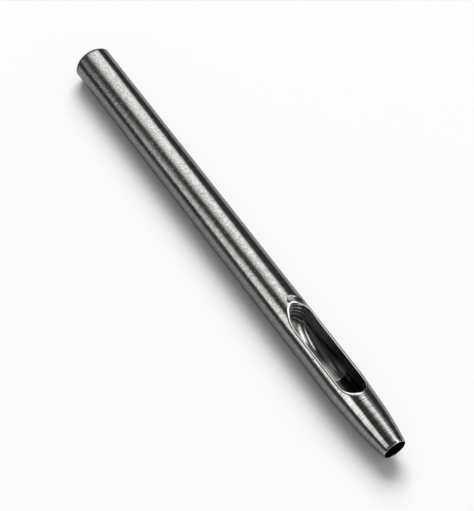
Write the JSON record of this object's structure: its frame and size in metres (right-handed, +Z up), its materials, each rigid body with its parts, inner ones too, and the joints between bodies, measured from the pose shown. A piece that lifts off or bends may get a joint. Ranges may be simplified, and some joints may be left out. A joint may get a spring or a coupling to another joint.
{
  "type": "drive hole punch",
  "caption": "Drive punch for leather: a round steel bar with a flat struck head, a hollow tapered cutting tip and a milled slug window.",
  "frame": {"origin": "on the surface that the punch lies on, under the middle of its length", "axes": "+X along the bar's axis from the struck head to the cutting edge, +Z up out of the slug window"},
  "size_m": [0.1296, 0.0096, 0.0095],
  "materials": {
    "tool_steel": "bare tool steel with a satin ground finish, fine dark pits and a brighter deburred window rim"
  },
  "bodies": {
    "root": {"punch_body": "tool_steel"}
  },
  "joints": []
}
